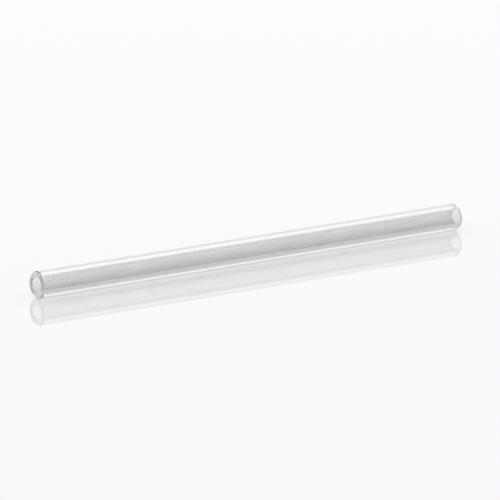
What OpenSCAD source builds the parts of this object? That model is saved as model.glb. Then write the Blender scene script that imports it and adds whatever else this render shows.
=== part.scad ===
// Glass capillary tube for micro-samples. It is open at both ends and is filled from end to
// end, so the bore and the length alone set its capacity: about 20 microlitres as drawn here.
// The tube lies on its side, centred along X and touching the plane Z = 0.

/* [Tube] */
// Length from end face to end face
tube_length = 32; // [20:0.5:75]
// Outer diameter
outer_d = 1.7; // [1.4:0.05:2]
// Diameter of the bore
bore_d = 0.89; // [0.2:0.01:1.1]

/* [Ends] */
// Radius that the flame leaves on the outer edge of each end
outer_edge_r = 0.1; // [0.02:0.01:0.12]
// Radius that the flame leaves on the mouth of the bore at each end
mouth_edge_r = 0.06; // [0.02:0.01:0.12]

/* [Hidden] */
$fn = 96;

outer_r = outer_d / 2;
bore_r = bore_d / 2;
wall = outer_r - bore_r;

// An edge can't be rounder than half of the wall that carries it.
outer_round = min(outer_edge_r, wall / 2);
mouth_round = min(mouth_edge_r, wall / 2);

// One corner of the wall's section: a disc of the corner's radius, at each end of the tube.
module corner_discs(radius, from_axis) {
    for (along = [radius, tube_length - radius])
        translate([from_axis, along]) circle(r = radius);
}

// The wall cut in half along the tube: X is the distance from the axis, Y the way along it.
// The polygon stops where each rounded corner begins, and the discs fill the corners out.
module wall_section() {
    polygon([
        [bore_r + mouth_round, 0],
        [outer_r - outer_round, 0],
        [outer_r, outer_round],
        [outer_r, tube_length - outer_round],
        [outer_r - outer_round, tube_length],
        [bore_r + mouth_round, tube_length],
        [bore_r, tube_length - mouth_round],
        [bore_r, mouth_round]
    ]);
    corner_discs(outer_round, outer_r - outer_round);
    corner_discs(mouth_round, bore_r + mouth_round);
}

// The drawn tube with its bore and its fire-polished ends, turned down to lie along X.
module capillary_tube() {
    color("lightcyan", 0.6)
        translate([-tube_length / 2, 0, outer_r])
            rotate([0, 90, 0])
                rotate_extrude() wall_section();
}

capillary_tube();
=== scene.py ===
"""Glass capillary tube for micro-samples, lying on a glossy white bench top.

The tube is one drawn piece of glass, open at both ends, with flame-glazed rims and a dried
anticoagulant film on the wall of its bore. The film's grey is painted shade: it darkens what is
seen through the bore, standing in for the darker bench behind the tube. All lengths are in metres.
"""

import math

import bmesh
import bpy
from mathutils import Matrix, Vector


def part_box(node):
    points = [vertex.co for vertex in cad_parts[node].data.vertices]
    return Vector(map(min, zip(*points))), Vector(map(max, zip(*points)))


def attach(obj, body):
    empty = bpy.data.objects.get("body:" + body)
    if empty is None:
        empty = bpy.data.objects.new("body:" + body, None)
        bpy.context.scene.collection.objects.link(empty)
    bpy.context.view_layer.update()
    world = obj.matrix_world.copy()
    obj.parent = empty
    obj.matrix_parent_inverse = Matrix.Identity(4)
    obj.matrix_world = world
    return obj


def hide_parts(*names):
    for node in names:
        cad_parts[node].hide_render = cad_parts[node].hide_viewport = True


MM = 0.001

# The tube, as the solid has it.
OUTER_RADIUS = 0.85 * MM
BORE_RADIUS = 0.445 * MM
RIM_RADIUS = 0.1 * MM  # what the flame leaves on the outer edge
MOUTH_RADIUS = 0.06 * MM  # and on the mouth of the bore
FILM_SHADE_FLARE = 0.3 * MOUTH_RADIUS  # how far the film, with the shade painted into its grey, climbs out of the bore onto its rounded mouths

# How its mesh is made.
FACETS = 192  # round the tube
RIM_STEPS = 10  # across each rounded edge
COLLAR = 0.05 * MM  # a short ring of faces behind each rim keeps the long wall's shading straight
SLACK = 0.01 * MM  # how far a vertex may lie from where it is looked for
TOUCHING = 0.0001 * MM  # vertices closer than this become one
SQUARE = 0.999  # a face whose normal has more X than this is part of a cut end

# The glass, and the patterns in it. A pair is a pattern's grain along and across the tube.
GLASS_INDEX = 1.52
RIB_GRAIN = (25 * MM, 0.15 * MM)
RIB_HEIGHT = 0.0004 * MM
PATCH_GRAIN = (2 * MM, 0.3 * MM)
HACKLE_GRAIN = 0.12 * MM
HACKLE_HEIGHT = 0.01 * MM
LOW_NOISE, HIGH_NOISE = 0.3, 0.7  # nearly all of a noise pattern lies between these

# The bench top.
FLOOR_REACH = 1.5  # half of its side
GLOW_SHARE = 0.5  # how much of its white is a glow
SKIN_INDEX = 1.6  # of the clear skin over the white

# The tent of light round the bench, by the Y and Z of the direction towards it.
FRONT_STRENGTH, BACK_STRENGTH = 0.93, 1.19
FRONT_EDGE, BACK_EDGE = -0.7, 0.7  # the strength changes between these Y
WALL_TOP, OVERHEAD = 0.5, 1.0  # the colour changes between these Z

# The camera looks down at the tube from its left end.
CAMERA_AZIMUTH = -36.0  # degrees, 0 looks along +Y
CAMERA_ELEVATION = 13.0
CAMERA_LENS = 500.0  # mm
CAMERA_SENSOR = 36.0  # mm wide
CAMERA_NEAR, CAMERA_FAR = 1 * MM, 10.0  # nothing nearer or farther is drawn
VIEW_WIDTH = 31.0 * MM  # what the camera takes in from side to side, at the tube

LIGHT_STEPS = 64  # how often light is followed from face to face inside the glass


def linear(hex_colour):
    """An sRGB hex colour as the linear red, green, blue and alpha that Blender wants."""
    channels = [int(hex_colour[i:i + 2], 16) / 255 for i in (1, 3, 5)]
    return tuple(c / 12.92 if c <= 0.04045 else ((c + 0.055) / 1.055) ** 2.4 for c in channels) + (1.0,)


def add_node(tree, kind, inputs=None, **settings):
    """Adds a node. A value in inputs that is an output socket is linked, and any other is set."""
    node = tree.nodes.new(kind)
    for name, value in settings.items():
        setattr(node, name, value)
    for socket, value in (inputs or {}).items():
        if isinstance(value, bpy.types.NodeSocket):
            tree.links.new(value, node.inputs[socket])
        else:
            node.inputs[socket].default_value = value
    return node


def new_material(name):
    """A material with nothing in it yet, and its node tree."""
    material = bpy.data.materials.new(name)
    material.use_nodes = True
    material.node_tree.nodes.clear()
    return material, material.node_tree


def finish_material(tree, shader):
    """Gives the tree its output, with this shader as the surface."""
    add_node(tree, "ShaderNodeOutputMaterial", {"Surface": shader.outputs[0]})


def set_ramp(ramp, stops):
    """Sets a colour ramp's two stops, each a position and a hex colour."""
    for element, (position, colour) in zip(ramp.elements, stops):
        element.position = position
        element.color = linear(colour)


def drawn_glass():
    """Soda-lime glass, drawn hot into tubing.

    It is colourless and as smooth as water. Drawing leaves faint ribs along the tube, about
    0.02 mm apart, drawn here 0.15 mm apart so that they show.
    """
    material, tree = new_material("drawn_soda_lime_glass")
    place = add_node(tree, "ShaderNodeTexCoord").outputs["Object"]
    along, across = RIB_GRAIN
    drawn = add_node(tree, "ShaderNodeMapping", {
        "Vector": place, "Scale": (1 / along, 1 / across, 1 / across)})
    ribs = add_node(tree, "ShaderNodeTexNoise", {
        "Vector": drawn.outputs[0], "Scale": 1.0, "Detail": 1.0})
    relief = add_node(tree, "ShaderNodeBump", {
        "Height": ribs.outputs["Fac"], "Strength": 1.0, "Distance": RIB_HEIGHT})
    shader = add_node(tree, "ShaderNodeBsdfPrincipled", {
        "Base Color": linear("#F1F1F0"),
        "Roughness": 0.0,
        "IOR": GLASS_INDEX,
        "Transmission Weight": 1.0,
        "Normal": relief.outputs[0],
    })
    finish_material(tree, shader)
    return material


def film_with_painted_shade():
    """The same glass under a film of anticoagulant that dried on it.

    The film's grey is painted shade: it darkens what is seen through the bore, standing in for the
    darker bench behind the tube. It dried in faint patches, about 0.3 mm across and 2 mm along the
    tube, and is a little less smooth than the glass.
    """
    material, tree = new_material("dried_film_with_painted_shade")
    place = add_node(tree, "ShaderNodeTexCoord").outputs["Object"]
    along, across = PATCH_GRAIN
    dried = add_node(tree, "ShaderNodeMapping", {
        "Vector": place, "Scale": (1 / along, 1 / across, 1 / across)})
    patches = add_node(tree, "ShaderNodeTexNoise", {
        "Vector": dried.outputs[0], "Scale": 1.0, "Detail": 3.0})
    shade = add_node(tree, "ShaderNodeValToRGB", {"Fac": patches.outputs["Fac"]})
    # painted shade: these two greys darken the view through the bore, and the patches vary between them
    # at random
    set_ramp(shade.color_ramp, ((LOW_NOISE, "#D1D1D0"), (HIGH_NOISE, "#E0E0DF")))
    smoothness = add_node(tree, "ShaderNodeMapRange", {
        "Value": patches.outputs["Fac"],
        "From Min": LOW_NOISE, "From Max": HIGH_NOISE,
        "To Min": 0.17, "To Max": 0.11,
    })
    shader = add_node(tree, "ShaderNodeBsdfPrincipled", {
        "Base Color": shade.outputs["Color"],
        "Roughness": smoothness.outputs[0],
        "IOR": GLASS_INDEX,
        "Transmission Weight": 1.0,
    })
    finish_material(tree, shader)
    return material


def cut_glass():
    """The cut end faces: snapped square and only touched by the flame, so they stay a little satin.

    The snap leaves fine hackle, about 0.03 mm across, drawn here 0.12 mm across so that it shows.
    """
    material, tree = new_material("cut_soda_lime_glass")
    place = add_node(tree, "ShaderNodeTexCoord").outputs["Object"]
    hackle = add_node(tree, "ShaderNodeTexNoise", {
        "Vector": place, "Scale": 1 / HACKLE_GRAIN, "Detail": 2.0})
    relief = add_node(tree, "ShaderNodeBump", {
        "Height": hackle.outputs["Fac"], "Strength": 1.0, "Distance": HACKLE_HEIGHT})
    satin = add_node(tree, "ShaderNodeMapRange", {
        "Value": hackle.outputs["Fac"],
        "From Min": LOW_NOISE, "From Max": HIGH_NOISE,
        "To Min": 0.08, "To Max": 0.18,
    })
    shader = add_node(tree, "ShaderNodeBsdfPrincipled", {
        "Base Color": linear("#DCDDDB"),
        "Roughness": satin.outputs[0],
        "IOR": GLASS_INDEX,
        "Transmission Weight": 1.0,
        "Normal": relief.outputs[0],
    })
    finish_material(tree, shader)
    return material


def polished_acrylic():
    """Cast white acrylic, polished: a plain white sheet under a clear skin that mirrors what lies on it.

    Half of the white is a glow for whatever looks at the sheet, which keeps it pale close to the
    tube. The skin mirrors a little more than acrylic's own index of 1.49 would.
    """
    material, tree = new_material("polished_white_acrylic")
    sheet = add_node(tree, "ShaderNodeBsdfPrincipled", {
        "Base Color": linear("#F9FAFB"), "Roughness": 0.6, "Specular IOR Level": 0.0})
    glow = add_node(tree, "ShaderNodeEmission", {"Color": linear("#FEFEFF"), "Strength": 1.0})
    path = add_node(tree, "ShaderNodeLightPath")
    seen = path.outputs["Is Camera Ray"]
    for ray in ("Is Glossy Ray", "Is Transmission Ray"):
        either = add_node(tree, "ShaderNodeMath", {0: seen, 1: path.outputs[ray]}, operation="MAXIMUM")
        seen = either.outputs[0]
    share = add_node(tree, "ShaderNodeMath", {0: seen, 1: GLOW_SHARE}, operation="MULTIPLY")
    pale = add_node(tree, "ShaderNodeMixShader", {
        0: share.outputs[0], 1: sheet.outputs[0], 2: glow.outputs[0]})
    polish = add_node(tree, "ShaderNodeBsdfAnisotropic", {
        "Color": linear("#FFFFFF"), "Roughness": 0.02})
    skin = add_node(tree, "ShaderNodeFresnel", {"IOR": SKIN_INDEX})
    shader = add_node(tree, "ShaderNodeMixShader", {
        0: skin.outputs[0], 1: pale.outputs[0], 2: polish.outputs[0]})
    finish_material(tree, shader)
    return material


def mesh_object(bm, name, *materials):
    """Makes an object of the bmesh, with these materials in its slots, and frees the bmesh."""
    mesh = bpy.data.meshes.new(name)
    bm.to_mesh(mesh)
    bm.free()
    for material in materials:
        mesh.materials.append(material)
    piece = bpy.data.objects.new(name, mesh)
    bpy.context.scene.collection.objects.link(piece)
    return piece


def rims(bm, radius):
    """The round edges of the two end faces at this distance from the axis."""
    return [e for e in bm.edges
            if all(abs(math.hypot(v.co.y, v.co.z) - radius) < SLACK for v in e.verts)
            and abs(e.verts[0].co.x - e.verts[1].co.x) < SLACK]


def tube(low, high, glass, film, cut):
    """The tube: a plain ring turned round the X axis, with its four rims melted round."""
    half = (high.x - low.x) / 2
    bm = bmesh.new()
    section = [bm.verts.new((x, 0, r)) for x, r in (
        (-half, BORE_RADIUS), (-half, OUTER_RADIUS), (half, OUTER_RADIUS), (half, BORE_RADIUS))]
    sides = [bm.edges.new((section[i - 1], section[i])) for i in range(4)]
    bmesh.ops.spin(bm, geom=section + sides, cent=(0, 0, 0), axis=(1, 0, 0), dvec=(0, 0, 0),
                   angle=2 * math.pi, steps=FACETS, use_merge=True)
    for radius, melted in ((OUTER_RADIUS, RIM_RADIUS), (BORE_RADIUS, MOUTH_RADIUS)):
        bmesh.ops.bevel(bm, geom=rims(bm, radius), offset=melted, offset_type="OFFSET",
                        affect="EDGES", segments=RIM_STEPS, profile=0.5, material=-1)
    for melted in (RIM_RADIUS, MOUTH_RADIUS):
        for side in (-1, 1):
            bmesh.ops.bisect_plane(bm, geom=bm.verts[:] + bm.edges[:] + bm.faces[:],
                                   plane_co=(side * (half - melted - COLLAR), 0, 0), plane_no=(1, 0, 0))
    bmesh.ops.remove_doubles(bm, verts=bm.verts, dist=TOUCHING)
    bmesh.ops.recalc_face_normals(bm, faces=bm.faces)
    for face in bm.faces:
        centre = face.calc_center_median()
        # faces on the bore take the film, whose grey is painted shade
        on_bore = math.hypot(centre.y, centre.z) < BORE_RADIUS + FILM_SHADE_FLARE
        on_end = abs(face.normal.x) > SQUARE
        face.material_index = 1 if on_bore else 2 if on_end else 0
        face.smooth = True
    bmesh.ops.translate(bm, verts=bm.verts, vec=((low.x + high.x) / 2, 0, OUTER_RADIUS))
    return mesh_object(bm, "capillary", glass, film, cut)


def bench_top(acrylic):
    """A flat square, wide enough to fill every view."""
    bm = bmesh.new()
    bmesh.ops.create_grid(bm, x_segments=1, y_segments=1, size=FLOOR_REACH)
    return mesh_object(bm, "bench_top", acrylic)


def studio():
    """A white tent round the bench, a little brighter behind the tube and dimmer overhead."""
    world = bpy.data.worlds.new("studio")
    bpy.context.scene.world = world
    world.use_nodes = True
    tree = world.node_tree
    tree.nodes.clear()
    direction = add_node(tree, "ShaderNodeTexCoord").outputs["Generated"]
    parts = add_node(tree, "ShaderNodeSeparateXYZ", {"Vector": direction})
    tent = add_node(tree, "ShaderNodeValToRGB", {"Fac": parts.outputs["Z"]})
    set_ramp(tent.color_ramp, ((WALL_TOP, "#FEFEFF"), (OVERHEAD, "#9F9FA0")))
    strength = add_node(tree, "ShaderNodeMapRange", {
        "Value": parts.outputs["Y"],
        "From Min": FRONT_EDGE, "From Max": BACK_EDGE,
        "To Min": FRONT_STRENGTH, "To Max": BACK_STRENGTH,
    }, interpolation_type="SMOOTHSTEP")
    lit = add_node(tree, "ShaderNodeBackground", {
        "Color": tent.outputs["Color"], "Strength": strength.outputs[0]})
    add_node(tree, "ShaderNodeOutputWorld", {"Surface": lit.outputs[0]})


def camera(target):
    """A long lens that looks down at the target, held level."""
    azimuth, elevation = math.radians(CAMERA_AZIMUTH), math.radians(CAMERA_ELEVATION)
    back = Vector((
        math.sin(azimuth) * math.cos(elevation),
        -math.cos(azimuth) * math.cos(elevation),
        math.sin(elevation),
    ))
    data = bpy.data.cameras.new("camera")
    data.sensor_width = CAMERA_SENSOR
    data.lens = CAMERA_LENS
    data.clip_start, data.clip_end = CAMERA_NEAR, CAMERA_FAR
    made = bpy.data.objects.new("camera", data)
    bpy.context.scene.collection.objects.link(made)
    made.location = target + back * (VIEW_WIDTH * CAMERA_LENS / CAMERA_SENSOR)
    made.rotation_mode = "QUATERNION"
    made.rotation_quaternion = (-back).to_track_quat("-Z", "Y")
    bpy.context.scene.camera = made


def light_paths():
    """Light runs along a wall of glass from face to face, and is lost if it is dropped early."""
    cycles = bpy.context.scene.cycles
    cycles.max_bounces = LIGHT_STEPS
    cycles.transmission_bounces = LIGHT_STEPS
    cycles.glossy_bounces = LIGHT_STEPS


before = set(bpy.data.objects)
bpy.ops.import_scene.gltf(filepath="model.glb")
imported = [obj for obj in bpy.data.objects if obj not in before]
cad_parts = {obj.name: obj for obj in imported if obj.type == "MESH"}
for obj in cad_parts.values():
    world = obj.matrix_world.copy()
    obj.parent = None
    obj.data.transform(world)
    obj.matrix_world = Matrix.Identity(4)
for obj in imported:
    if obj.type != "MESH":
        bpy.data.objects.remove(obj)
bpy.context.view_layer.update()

low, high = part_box("capillary_tube")
capillary = tube(low, high, drawn_glass(), film_with_painted_shade(), cut_glass())
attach(capillary, "root")
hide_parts("capillary_tube")

floor = bench_top(polished_acrylic())
studio()
camera((low + high) / 2)
light_paths()
bpy.context.scene.view_settings.view_transform = "Standard"
